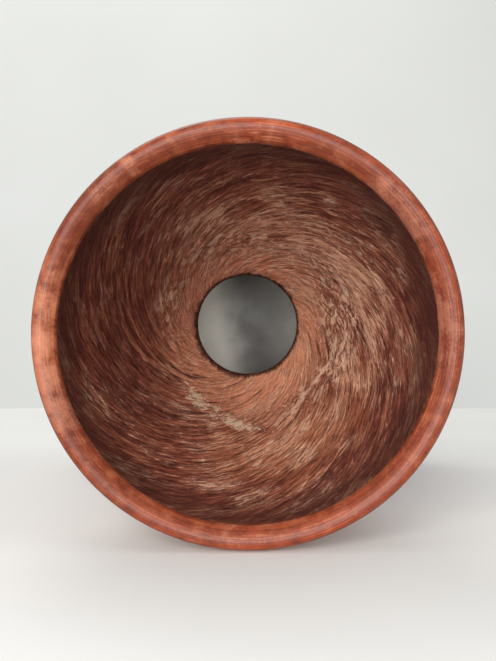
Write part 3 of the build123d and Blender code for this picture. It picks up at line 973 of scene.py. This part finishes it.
def rim_solid():
    part = Solid()
    patch_turns = np.linspace(-PATCH_HALF, PATCH_HALF, PATCH_CELLS + 1)
    plain_turns = np.linspace(PATCH_HALF, 360 / SCREWS - PATCH_HALF, PLAIN_CELLS + 1)[1:-1]
    sector = [*patch_turns, *plain_turns]
    turn = [radians(360 / SCREWS * k + t) for k in range(SCREWS) for t in sector]
    width, total = len(sector), len(turn)

    def ring(r, z):
        return part.loop([(r * MM * cos(t), r * MM * sin(t), z * MM) for t in turn])

    rows = [ring(r, rim_height(r)) for r in np.linspace(PATCH_IN, PATCH_OUT, PATCH_CELLS + 1)]
    # inside: rounded mouth, bore, ledge over the hoop, and the wall around it
    turns = map(radians, (90, 66, 42, 20, 0))
    mouth = [(BORE + 1.5 * (1 - cos(t)), RIM_TOP - 1.5 * (1 - sin(t))) for t in turns]
    inner = [ring(r, z) for r, z in [
        *mouth, (BORE, 423.5), (BORE, 421.8), (BORE + 0.2, 421.6), (WALL - 0.3, 421.6), (WALL, 421.3),
        (WALL, RIM_FOOT + 0.3), (WALL + 0.3, RIM_FOOT),
    ]]
    part.chain([rows[0], *inner])
    # outside: the last of the fall, the side and the foot's chamfer
    falls = map(radians, (14, 8, 3, 0))
    fall = [(SHOULDER + FALL_WIDE * cos(t), RIM_TOP - FALL_TALL + FALL_TALL * sin(t)) for t in falls]
    chamfer = [(OUTER - 0.2, 415.5), (OUTER - 0.7, 414.9), (OUTER - 1.0, RIM_FOOT)]
    outer = [ring(r, z) for r, z in [*fall, (OUTER, 416.6), (OUTER, 415.8), *chamfer]]
    part.chain([rows[-1], *outer])
    for row in range(PATCH_CELLS):
        for k in range(total):
            if k % width >= PATCH_CELLS:
                n = (k + 1) % total
                part.faces.append((rows[row][k], rows[row][n], rows[row + 1][n], rows[row + 1][k]))
    # each pocket and screw hole, joined to a square patch of the top face
    holes = []
    for number, where in enumerate(screw_angles):
        first = number * width
        square = [rows[0][first + k] for k in range(PATCH_CELLS)]
        square += [rows[k][first + PATCH_CELLS] for k in range(PATCH_CELLS)]
        square += [rows[-1][first + PATCH_CELLS - k] for k in range(PATCH_CELLS)]
        square += [rows[PATCH_CELLS - k][first] for k in range(PATCH_CELLS)]
        cx, cy = circle_mm * cos(where), circle_mm * sin(where)
        corners = [(part.verts[v][0] / MM - cx, part.verts[v][1] / MM - cy) for v in square]
        spokes = [np.arctan2(y, x) for x, y in corners]

        def level(r, height=None, drop=0.0):
            made = []
            for t in spokes:
                x, y = cx + r * cos(t), cy + r * sin(t)
                z = (rim_height(np.hypot(x, y)) - drop) if height is None else height
                made.append((x * MM, y * MM, z * MM))
            return part.loop(made)

        between = []
        for share in (0.35, 0.7):
            made = []
            for (x, y), t in zip(corners, spokes):
                far = np.hypot(x, y)
                r = far + (POCKET + 0.5 - far) * share
                px, py = cx + r * cos(t), cy + r * sin(t)
                made.append((px * MM, py * MM, rim_height(np.hypot(px, py)) * MM))
            between.append(part.loop(made))
        pocket = [level(POCKET + wider, drop=drop) for wider, drop in POCKET_MOUTH]
        pocket += [level(r, z) for r, z in POCKET_WELL]
        part.chain([square, *between, *pocket])
        holes.append(pocket[-1])
    clear = clear_of((SCREW_HOLE + 0.2) * MM * 0.98)
    low_r, high_r = (WALL + 0.3) * MM * 0.9999, (OUTER - 1.0) * MM
    foot_loops = [inner[-1], outer[-1], *holes]
    part.faces += plate(part.verts, foot_loops, lambda x, y: clear(x, y) and low_r < np.hypot(x, y) < high_r)
    return part


rim = rim_solid().build("tuning_rim_ring", rim_metal, 35)
place_part(rim, "rim", "tuning_rim")

# screws: knurled head, hexagon socket, rolled thread; one mesh, copied to each place
HEAD_R, HEAD_LOW, HEAD_TALL, SOCKET_HALF, SOCKET_DEEP = 5.0, 420.4, 6.0, 2.5, 3.2
SHANK_R, SHANK_LONG, PLAIN_LONG, THREAD_DEEP = 2.98, 30.0, 5.0, 0.5
HEAD_TURNS, THREAD_TURNS, ROWS_PER_TURN, KNURL = 96, 32, 8, 0.16


def screw_solid():
    part = Solid()
    turn = [2 * pi * k / HEAD_TURNS for k in range(HEAD_TURNS)]

    def closed(radii, z):
        return part.loop([(r * MM * cos(t), r * MM * sin(t), z * MM) for r, t in zip(radii, turn)])

    def ring(r, z, knurl=0.0):
        return closed([r - knurl * (k % 2) for k in range(HEAD_TURNS)], z)

    def hexagon(apothem, z):
        return closed([apothem / cos((t + pi / 6) % (pi / 3) - pi / 6) for t in turn], z)

    top = HEAD_TALL
    floor = top - SOCKET_DEEP
    rings = [part.loop([(0, 0, (floor - 0.9) * MM)])]
    socket = ((SOCKET_HALF / 2, floor - 0.45), (SOCKET_HALF, floor), (SOCKET_HALF, top - 0.25))
    rings += [hexagon(apothem, z) for apothem, z in (*socket, (SOCKET_HALF + 0.2, top))]
    head = (  # inset, height, knurling
        (1.4, top, 0), (0.55, top, 0), (0.2, top - 0.12, 0), (0.05, top - 0.4, 0), (0.02, top - 0.6, 0.02),
        (0, top - 0.9, KNURL), (0, 1.0, KNURL), (0.02, 0.7, 0.02), (0.1, 0.15, 0), (0.3, 0, 0),
    )
    rings += [ring(HEAD_R - inset, z, knurl) for inset, z, knurl in head]
    rings += [ring(SHANK_R + 0.35, 0), ring(SHANK_R + 0.02, -0.4), ring(SHANK_R, -PLAIN_LONG)]
    part.chain(rings)
    rows = int((SHANK_LONG - PLAIN_LONG) * ROWS_PER_TURN)
    previous = None
    for row in range(rows + 1):
        z = -PLAIN_LONG - 0.15 - row / ROWS_PER_TURN * (1 - 0.15 / (SHANK_LONG - PLAIN_LONG))
        fade = min(1.0, row / 6) * (1 - 0.25 * smooth(-z, SHANK_LONG - 0.9, SHANK_LONG))
        loop = []
        for k in range(THREAD_TURNS):
            t = 2 * pi * k / THREAD_TURNS
            phase = (z + t / (2 * pi)) % 1.0
            depth = np.clip(abs(phase - 0.5) * 2.4 - 0.7, 0, 1) * THREAD_DEEP
            tip = 0.85 * smooth(-z, SHANK_LONG - 1.0, SHANK_LONG)
            r = min(SHANK_R - depth * fade, SHANK_R - tip)
            loop.append((r * MM * cos(t), r * MM * sin(t), max(z, -SHANK_LONG) * MM))
        ring_now = part.loop(loop)
        if previous:
            part.join(previous, ring_now)
        else:
            for k in range(THREAD_TURNS):
                here, onward = ring_now[k], ring_now[(k + 1) % THREAD_TURNS]
                a, b, c, d = [rings[-1][(3 * k + j) % HEAD_TURNS] for j in range(4)]
                part.faces += [(a, b, here), (b, c, here), (c, onward, here), (c, d, onward)]
        previous = ring_now
    part.join(previous, part.loop([(0, 0, -SHANK_LONG * MM)]))
    return part


def repeat(master, place, number):
    """The master itself for the first place, and a copy for each of the others."""
    made = master
    if number:
        made = bpy.data.objects.new(f"{master.name}_{number + 1}", master.data.copy())
        bpy.context.scene.collection.objects.link(made)
    made.location = place
    return made


screw = screw_solid().build("screw", screw_metal, 30)
washer = turned_part(
    rounded([(3.2, 0, 0.2), (5.75, 0, 0.25), (5.75, 1.6, 0.35), (3.2, 1.6, 0.2)]), 64
).build("washer_plain", washer_metal, 40)
insert_corners = [
    (3.08, -20, 0.3), (5.0, -20, 0.5), (5.0, -0.6, 0), (4.6, 0, 0.15), (3.6, 0, 0.1), (3.08, -0.6, 0.1),
]
insert = turned_part(rounded(insert_corners), 48).build("insert_threaded", brass, 30)
washer_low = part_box("washer_1")[0].z
SOCKET_TURN = 47  # degrees between one screw's socket and the next, as screws happen to stop
for number, (x, y) in enumerate(screw_places):
    spun = repeat(screw, (x, y, HEAD_LOW * MM), number)
    spun.rotation_euler.z = radians(SOCKET_TURN * number)
    n = number + 1
    place_part(spun, f"screw_{n}", f"tuning_screw_{n}")
    place_part(repeat(washer, (x, y, washer_low), number), "rim", f"washer_{n}")
    place_part(repeat(insert, (x, y, insert_top), number), "drum", f"threaded_insert_{n}")

# ---- table, backdrop, camera and lights
rim_low, rim_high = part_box("tuning_rim")
touch_foot = Vector((0, nose[:, 0].max() + 0.2 * MM, nose_z))
touch_rim = Vector((0, rim_high.y + 1.4 * MM, rim_low.z + 2.2 * MM))
table_along = (touch_rim - touch_foot).normalized()
table_up = Vector((0, -table_along.z, table_along.y))

CAMERA_DISTANCE = 0.5045  # from the foot's widest circle
AXIS_OFFSET = Vector((0.00265, 0.0364, 1.0))  # the camera looks a little below the drum's axis
look_dir = AXIS_OFFSET.normalized()
cam_right = look_dir.cross(Vector((0, -1, 0))).normalized()
cam_up = cam_right.cross(look_dir).normalized()
foot_centre = Vector((0, 0, nose_z))
cam_place = foot_centre - look_dir * CAMERA_DISTANCE + cam_up * 2.5 * MM
camera = bpy.data.objects.new("camera", bpy.data.cameras.new("camera"))
bpy.context.scene.collection.objects.link(camera)
camera.matrix_world = Matrix((cam_right, cam_up, -look_dir)).transposed().to_4x4()
camera.location = cam_place
camera.data.sensor_fit = "VERTICAL"
camera.data.sensor_height = 24
camera.data.lens = 32.9
camera.data.clip_start = 0.01
bpy.context.scene.camera = camera


def stage_material(name, low, high, scale, glow=0.0):
    """A pale matt surface that is seen from its front only."""
    g = Graph(name)
    cloud = g.noise(g.place(), scale=scale, detail=3)
    g.surface(
        g.ramp(cloud, (0.3, low), (0.7, high)), g.step(cloud, 0.3, 0.7, 0.7, 0.85),
        Emission_Color=(0.96, 0.98, 0.96, 1), Emission_Strength=glow, Specular_IOR_Level=0.2,
    )
    back = g.node("NewGeometry").outputs["Backfacing"]
    return g.mixed_with(back, g.node("BsdfTransparent").outputs[0])


def stage_plane(name, corner, side, end, material):
    """A rectangle whose front faces the camera's place."""
    corners = [corner, corner + side, corner + side + end, corner + end]
    if side.cross(end).dot(cam_place - corner) < 0:
        corners.reverse()
    made = new_object(name, corners, [(0, 1, 2, 3)], [material], False)
    return made


across = Vector((1, 0, 0))
TABLE_FRONT, TABLE_BACK = 1.2, 1.56  # before the foot, and from the camera to the far edge
TABLE_HALF, WALL_HALF, WALL_TALL, WALL_GAP, WALL_DROP = 1.6, 2.6, 3.4, 0.35, 0.8
table_start = touch_foot - table_along * TABLE_FRONT
table_length = TABLE_FRONT + TABLE_BACK - CAMERA_DISTANCE
table = stage_plane(
    "table", table_start - across * TABLE_HALF, across * 2 * TABLE_HALF, table_along * table_length,
    stage_material("table_cloth", (228, 227, 224), (234, 233, 230), 3),
)
table.visible_diffuse = False  # light from all round still reaches the drum where it lies close
wall_foot = table_start + table_along * (table_length + WALL_GAP) - table_up * WALL_DROP
stage_plane(
    "backdrop", wall_foot - across * WALL_HALF, table_up * WALL_TALL, across * 2 * WALL_HALF,
    stage_material("backdrop", (207, 208, 204), (213, 214, 211), 2, glow=0.03),
)


def area_light(name, place, target, size, power, colour=(1, 1, 1)):
    data = bpy.data.lights.new(name, "AREA")
    data.shape = "DISK"
    data.size = size
    data.energy = power
    data.color = colour
    made = bpy.data.objects.new(name, data)
    bpy.context.scene.collection.objects.link(made)
    made.location = place
    direction = (Vector(target) - Vector(place)).normalized()
    made.rotation_euler = direction.to_track_quat("-Z", "Y").to_euler()
    made.visible_camera = False


area_light("key", (-0.40, -0.50, -1.35), (0, 0, 0.12), 0.7, 19, (1.0, 0.98, 0.95))
area_light("front", (-0.06, -0.16, -1.5), (0, 0, 0.2), 0.4, 21, (1.0, 0.98, 0.95))
area_light("back", (-0.30, -1.15, 1.35), (-0.05, 0, 0.5), 1.2, 11)

world = bpy.data.worlds.new("soft_studio")
world.use_nodes = True
world.node_tree.nodes["Background"].inputs["Color"].default_value = (0.93, 0.95, 0.97, 1)
world.node_tree.nodes["Background"].inputs["Strength"].default_value = 0.66
bpy.context.scene.world = world
bpy.context.scene.view_settings.view_transform = "Standard"
